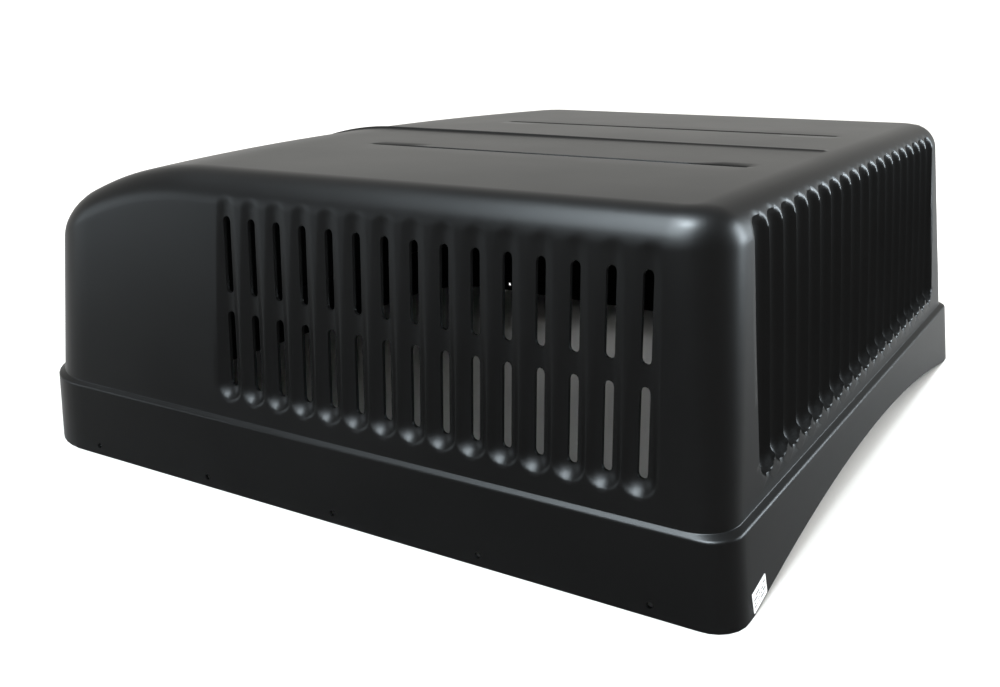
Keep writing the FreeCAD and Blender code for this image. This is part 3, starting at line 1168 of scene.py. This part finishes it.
@dataclass(frozen=True)
class SatinBlackPlastic:
    """Moulded ABS with a fine satin grain."""

    dark: tuple = (0.0035, 0.0035, 0.0036)
    light: tuple = (0.0060, 0.0060, 0.0061)
    roughness: tuple = (0.31, 0.38)
    specular: float = 0.015
    cloud_scale: float = 9.0
    cloud_detail: float = 4.0
    grain_scale: float = 900.0
    grain_detail: float = 2.0
    grain_strength: float = 0.06
    grain_depth: float = 0.0002

    def build(self) -> bpy.types.Material:
        """Make the material.

        Returns:
            The plastic.
        """
        recipe = Recipe("satin_black_plastic", specular=self.specular)
        cloud = recipe.texture("ShaderNodeTexNoise", scale=self.cloud_scale, detail=self.cloud_detail)
        recipe.tint(cloud.outputs["Fac"], self.dark, self.light)
        gloss = recipe.nodes.new("ShaderNodeMapRange")
        gloss.inputs["To Min"].default_value = self.roughness[0]
        gloss.inputs["To Max"].default_value = self.roughness[1]
        recipe.links.new(cloud.outputs["Fac"], gloss.inputs["Value"])
        recipe.links.new(gloss.outputs["Result"], recipe.shader.inputs["Roughness"])
        grain = recipe.texture("ShaderNodeTexNoise", scale=self.grain_scale, detail=self.grain_detail)
        recipe.bump(grain.outputs["Fac"], self.grain_strength, self.grain_depth)
        return recipe.material


@dataclass(frozen=True)
class PaleFloor:
    """A matt white studio floor."""

    low: tuple = (0.80, 0.80, 0.80)
    high: tuple = (0.86, 0.86, 0.86)
    roughness: float = 0.9
    specular: float = 0.1
    cloud_scale: float = 1.5

    def build(self) -> bpy.types.Material:
        """Make the material.

        Returns:
            The floor's paint.
        """
        recipe = Recipe("pale_floor", self.roughness, self.specular)
        cloud = recipe.texture("ShaderNodeTexNoise", scale=self.cloud_scale)
        recipe.tint(cloud.outputs["Fac"], self.low, self.high)
        return recipe.material


@dataclass(frozen=True)
class SealFoam:
    """Closed-cell foam: dark grey and pitted, with painted shade in the pits."""

    # dark is the painted shade at the bottom of each pit, light the colour at the cell rims.
    dark: tuple = (0.010, 0.010, 0.010)
    light: tuple = (0.032, 0.032, 0.033)
    roughness: float = 0.95
    specular: float = 0.1
    cell_scale: float = 700.0
    pit_strength: float = 0.5
    pit_depth: float = 0.0006

    def build(self) -> bpy.types.Material:
        """Make the material.

        Returns:
            The foam.
        """
        recipe = Recipe("seal_foam", self.roughness, self.specular)
        cells = recipe.texture("ShaderNodeTexVoronoi", scale=self.cell_scale)
        # The pits are painted darker than the cell rims, using the same pattern as the bump: painted shade in the
        # pits.
        recipe.tint(cells.outputs["Distance"], self.dark, self.light)
        recipe.bump(cells.outputs["Distance"], self.pit_strength, self.pit_depth)
        return recipe.material


@dataclass(frozen=True)
class PrintedLabel:
    """White sticker with rows of plain dark blocks for its print."""

    paper: tuple = (0.78, 0.79, 0.80)
    ink: tuple = (0.03, 0.03, 0.035)
    roughness: float = 0.45
    rows: float = 6.0
    blocks: float = 24.0
    filled: float = 0.42
    line: tuple = (0.25, 0.80)
    side_margins: tuple = (0.08, 0.92)
    end_margins: tuple = (0.10, 0.90)

    def build(self) -> bpy.types.Material:
        """Make the material.

        Returns:
            The printed paper.
        """
        recipe = Recipe("label_white", self.roughness)
        nodes, links = recipe.nodes, recipe.links
        uv = nodes.new("ShaderNodeUVMap")
        uv.uv_map = "print"
        split = nodes.new("ShaderNodeSeparateXYZ")
        links.new(uv.outputs["UV"], split.inputs["Vector"])
        column = recipe.calculate("MULTIPLY", split.outputs["X"], self.blocks)
        lines = recipe.calculate("MULTIPLY", split.outputs["Y"], self.rows)
        join = nodes.new("ShaderNodeCombineXYZ")
        links.new(recipe.calculate("FLOOR", column), join.inputs["X"])
        links.new(recipe.calculate("FLOOR", lines), join.inputs["Y"])
        noise = nodes.new("ShaderNodeTexWhiteNoise")
        noise.noise_dimensions = "2D"
        links.new(join.outputs["Vector"], noise.inputs["Vector"])
        ink = recipe.calculate("GREATER_THAN", noise.outputs["Value"], self.filled)
        bands = (
            (recipe.calculate("FRACT", lines), self.line),
            (split.outputs["X"], self.side_margins),
            (split.outputs["Y"], self.end_margins),
        )
        for value, (low, high) in bands:
            ink = recipe.calculate("MULTIPLY", ink, recipe.calculate("GREATER_THAN", value, low))
            ink = recipe.calculate("MULTIPLY", ink, recipe.calculate("LESS_THAN", value, high))
        recipe.tint(ink, self.paper, self.ink)
        return recipe.material


def hang(name: str, data: bpy.types.ID, azimuth: float, elevation: float) -> tuple:
    """Add a lamp or a camera that looks along one direction.

    Args:
        name: Its name.
        data: The lamp or the camera.
        azimuth: Degrees round from -Y towards +X of the side it looks from.
        elevation: Degrees above level of the same.

    Returns:
        The new object, and the direction from its target back to it.
    """
    turn, rise = math.radians(azimuth), math.radians(elevation)
    back = Vector((math.sin(turn) * math.cos(rise), -math.cos(turn) * math.cos(rise), math.sin(rise)))
    item = bpy.data.objects.new(name, data)
    bpy.context.collection.objects.link(item)
    item.rotation_mode = "QUATERNION"
    item.rotation_quaternion = (-back).to_track_quat("-Z", "Y")
    return item, back


@dataclass(frozen=True)
class Softbox:
    """One area light aimed at a target."""

    name: str
    azimuth: float
    elevation: float
    distance: float
    size: tuple
    power: float
    tint: tuple = (1.0, 1.0, 1.0)
    on_matt: bool = False
    on_gloss: bool = True
    target: tuple = (0.0, 0.0, 0.15)

    def build(self) -> None:
        """Hang the light."""
        light = bpy.data.lights.new(self.name, "AREA")
        light.shape = "RECTANGLE"
        light.size, light.size_y = self.size
        light.energy = self.power
        light.color = self.tint
        lamp, back = hang(self.name, light, self.azimuth, self.elevation)
        lamp.visible_diffuse, lamp.visible_glossy = self.on_matt, self.on_gloss
        lamp.location = Vector(self.target) + back * self.distance


@dataclass
class Studio:
    """The floor, the light and the camera."""

    floor_side: float = 60.0
    world_strength: float = 1.5
    softboxes: tuple = (
        Softbox("overhead", -2.0, 62.0, 2.6, (2.0, 2.4), 3600.0, COOL),
        Softbox("front", 5.0, 32.0, 2.6, (2.2, 1.6), 420.0, COOL),
        Softbox("key", 25.0, 67.0, 2.6, (0.6, 0.6), 1300.0, COOL),
        Softbox("left", -50.0, 4.0, 2.6, (1.6, 1.0), 95.0, COOL),
        Softbox("right", 130.0, 14.0, 2.6, (1.0, 1.4), 600.0, COOL),
        Softbox("behind", 180.0, 32.0, 2.5, (1.0, 1.0), 45.0, on_matt=True, on_gloss=False),
    )
    camera_place: tuple = (0.58085, -0.94563, 0.39787)
    camera_azimuth: float = 29.50
    camera_elevation: float = 13.96
    lens: float = 38.98
    shift: tuple = (-0.0727, -0.0639)
    clip: tuple = (0.05, 200.0)

    def build(self) -> None:
        """Make all of it."""
        self.floor()
        self.world()
        for softbox in self.softboxes:
            softbox.build()
        self.camera()
        bpy.context.scene.view_settings.view_transform = "Standard"

    def floor(self) -> None:
        """Lay the floor."""
        bpy.ops.mesh.primitive_plane_add(size=self.floor_side, location=(0.0, 0.0, 0.0))
        floor = bpy.context.object
        floor.name = "floor"
        floor.data.materials.append(PaleFloor().build())
        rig.stage(floor)

    def world(self) -> None:
        """Fill the room with even light."""
        world = bpy.data.worlds.new("studio")
        bpy.context.scene.world = world
        world.use_nodes = True
        shade = world.node_tree.nodes["Background"]
        shade.inputs["Color"].default_value = (*WARM, 1.0)
        shade.inputs["Strength"].default_value = self.world_strength

    def camera(self) -> None:
        """Place the camera."""
        data = bpy.data.cameras.new("camera")
        data.lens = self.lens
        data.shift_x, data.shift_y = self.shift
        data.clip_start, data.clip_end = self.clip
        camera, _ = hang("camera", data, self.camera_azimuth, self.camera_elevation)
        camera.location = self.camera_place
        bpy.context.scene.camera = camera


@dataclass(frozen=True)
class DataLabel:
    """The small sticker low on the rear skirt."""

    centre: tuple = (0.36411, -0.3032, 0.0115)
    size: tuple = (0.0004, 0.026, 0.0155)
    turn: float = 9.0
    lean: float = 5.4
    corner: float = 0.0012
    corner_segments: int = 5

    def build(self, material: bpy.types.Material) -> bpy.types.Object:
        """Make the label.

        Args:
            material: Its printed paper.

        Returns:
            The finished label.
        """
        bpy.ops.mesh.primitive_cube_add(size=1.0, location=(0.0, 0.0, 0.0), scale=self.size)
        label = bpy.context.object
        label.name = "label"
        apply_place(label)
        bpy.ops.object.mode_set(mode="EDIT")
        bpy.ops.mesh.select_all(action="DESELECT")
        mesh = bmesh.from_edit_mesh(label.data)
        for edge in mesh.edges:
            first, second = (vertex.co for vertex in edge.verts)
            edge.select = abs(first.x - second.x) > self.size[0] / 2
        bmesh.update_edit_mesh(label.data)
        bpy.ops.mesh.bevel(offset=self.corner, segments=self.corner_segments)
        bpy.ops.object.mode_set(mode="OBJECT")
        layer = label.data.uv_layers.new(name="print")
        for loop in label.data.loops:
            place = label.data.vertices[loop.vertex_index].co
            layer.data[loop.index].uv = (place.y / self.size[1] + 0.5, place.z / self.size[2] + 0.5)
        label.rotation_euler = (math.radians(self.turn), -math.radians(self.lean), 0.0)
        label.location = self.centre
        apply_place(label)
        label.data.materials.append(material)
        smooth_by_angle(label, CRISP_ANGLE)
        LOG.info("label at %s", self.centre)
        return label


@dataclass(frozen=True)
class FoamSeal:
    """One soft strip stuck round the inside of the shell, within the room its solid takes."""

    node: str
    cuts: int
    bevel: float = 0.0022
    bevel_segments: int = 3
    thick: float = 0.010
    end_gap: float = 0.0003
    side_gap: float = 0.0004
    wobble: float = 0.0004
    wobble_rates: tuple = (210.0, 900.0)
    roof_points: int = 41
    wall_points: int = 25
    bend_points: int = 13
    corner_limit: float = 0.9
    shortest_end: float = 0.001
    smooth_angle: float = 50.0

    def build(self, material: bpy.types.Material, form: ShellForm) -> bpy.types.Object:
        """Make the strip.

        Args:
            material: Its foam.
            form: The shell that it is stuck to.

        Returns:
            The finished strip.
        """
        low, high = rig.box(self.node)
        bpy.ops.mesh.primitive_cube_add(size=1.0, location=(0.0, 0.0, 0.0))
        strip = bpy.context.object
        strip.name = self.node + "_foam"
        path = self.path(low, high, form)
        length = path[-1][0]
        strip.scale = (high[0] - low[0], length, self.thick)
        apply_place(strip)
        bpy.ops.object.mode_set(mode="EDIT")
        bpy.ops.mesh.select_all(action="SELECT")
        bpy.ops.mesh.bevel(offset=self.bevel, segments=self.bevel_segments)
        for index in range(1, self.cuts):
            bpy.ops.mesh.select_all(action="SELECT")
            place = -length / 2 + length * index / self.cuts
            bpy.ops.mesh.bisect(plane_co=(0.0, place, 0.0), plane_no=(0.0, 1.0, 0.0))
        bpy.ops.object.mode_set(mode="OBJECT")
        self.bend(strip, np.array(path), (low[0] + high[0]) / 2)
        recalculate_normals(strip)
        strip.data.materials.append(material)
        smooth_by_angle(strip, self.smooth_angle)
        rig.padded(strip, fill=1.0)
        LOG.info("%s: %.0f mm long", strip.name, length / MM)
        return strip

    def bend(self, strip: bpy.types.Object, path: np.ndarray, middle: float) -> None:
        """Lay a straight strip along its path, slightly uneven on the free side.

        Args:
            strip: The straight strip.
            path: The points it follows.
            middle: The strip's place along the shell.
        """
        along, across = self.wobble_rates
        for vertex in strip.data.vertices:
            run = vertex.co.y + path[-1, 0] / 2
            y, z, aside, up = (float(np.interp(run, path[:, 0], path[:, k])) for k in range(1, 5))
            depth = self.thick / 2 - vertex.co.z
            uneven = self.wobble * math.sin(run * along + vertex.co.x * across) * depth / self.thick
            depth = depth + uneven
            vertex.co = (middle + vertex.co.x, y + aside * depth, z + up * depth)

    def corner_drop(self, x: float, z: float, off: float, form: ShellForm) -> float:
        """How far the shell's rear corner bends in at one place, so that the strip stays inside it.

        Args:
            x: The strip's outer edge.
            z: The height.
            off: How far the rounded roof edge already bends in.
            form: The shell.

        Returns:
            The distance.
        """
        if x < 0.0:
            return 0.0
        height = np.array(z)
        radius = float(form.corner_radius(Face.REAR, height))
        centre = form.half_length - float(form.wall_inset(Face.REAR, height)) - radius
        left = radius - form.wall - off
        reach = min(max(x - centre, 0.0), self.corner_limit * left)
        return left - math.sqrt(left**2 - reach**2)

    def path(self, low: Vector, high: Vector, form: ShellForm) -> list:
        """The line the strip follows inside the shell.

        Args:
            low: The solid's lowest corner.
            high: Its highest corner.
            form: The shell.

        Returns:
            Points as (run, y, z, and the y and z of the direction away from the shell).
        """
        x = (low[0] + high[0]) / 2
        top = high[2] - self.end_gap
        if low[1] * high[1] < 0.0:
            points = []
            for y in np.linspace(low[1], high[1], self.roof_points):
                z = float(min(form.roof(np.array(x), np.array(y)) - form.wall, top))
                points.append((y - low[1], y, z, 0.0, -1.0))
            return points
        sign = 1.0 if high[1] > 0.0 else -1.0
        inner, outer = sorted((abs(low[1]), abs(high[1])))
        radius = form.edge_radius - form.wall
        foot_z = low[2] + self.end_gap
        bend_z = top - radius * (1.0 - math.sin(form.draft_angle))
        line = []
        for z in np.linspace(foot_z, bend_z, self.wall_points):
            y = outer - self.side_gap - form.draft * (z - foot_z)
            line.append((y - self.corner_drop(high[0], z, 0.0, form), z, form.draft_angle))
        wall_y = outer - self.side_gap - form.draft * (bend_z - foot_z)
        for turn in np.linspace(form.draft_angle, math.pi / 2, self.bend_points)[1:]:
            off = radius * (math.cos(form.draft_angle) - math.cos(turn))
            y = wall_y - off - self.corner_drop(high[0], bend_z, off, form)
            line.append((max(y, inner), top - radius * (1.0 - math.sin(turn)), turn))
        if line[-1][0] > inner + self.shortest_end:
            line.append((inner, top, math.pi / 2))
        points, run = [], 0.0
        for index, (y, z, turn) in enumerate(line):
            if index:
                run += math.hypot(y - line[index - 1][0], z - line[index - 1][1])
            points.append((run, sign * y, z, -sign * math.cos(turn), -math.sin(turn)))
        return points


def main() -> None:
    """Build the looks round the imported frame."""
    logging.basicConfig(level=logging.INFO)
    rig.load()
    cad_low, cad_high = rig.bounds()
    form = ShellForm()
    side = FluteRow(
        first=-0.0888, pitch=0.02706, count=15, floor_low=0.0139, floor_high=0.0188, foot_z=0.096,
        head_z=0.246, slots=((0.0922, 0.1569), (0.1721, 0.2362)),
        offsets=(0.0, 0.002, 0.0034, 0.004, 0.0066, 0.0092, 0.0113, 0.0126, 0.01353),
    )
    rear = FluteRow(
        first=-0.2619, pitch=0.0291, count=19, floor_low=0.026, floor_high=0.033, foot_z=0.097,
        head_z=0.256, slots=((0.0922, 0.1535), (0.1700, 0.2490)),
        offsets=(0.0, 0.002, 0.0034, 0.004, 0.0065, 0.0092, 0.0116, 0.0132, 0.01455),
    )
    shell = CoverShell(form, side, rear).build(SatinBlackPlastic().build())
    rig.ride(shell, BODY)
    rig.replaces(shell, "cover_shell")
    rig.slot(shell, "shell_black")
    label = DataLabel().build(PrintedLabel().build())
    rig.ride(label, BODY)
    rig.replaces(label, "data_label")
    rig.slot(label, "label_white")
    foam = SealFoam().build()
    for end in ("rear", "front"):
        for part, cuts in (("roof", 30), ("left", 24), ("right", 24)):
            node = f"{end}_seal_{part}"
            strip = FoamSeal(node, cuts).build(foam, form)
            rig.ride(strip, BODY)
            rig.replaces(strip, node)
            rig.slot(strip, "seal_foam")
    Studio().build()
    low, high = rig.bounds()
    with open(SIZE_FILE, "w") as out:
        boxes = {"cad": [list(cad_low), list(cad_high)], "visual": [list(low), list(high)]}
        json.dump(boxes, out)
    LOG.info("boxes: %s", boxes)


if __name__ == "__main__":
    main()
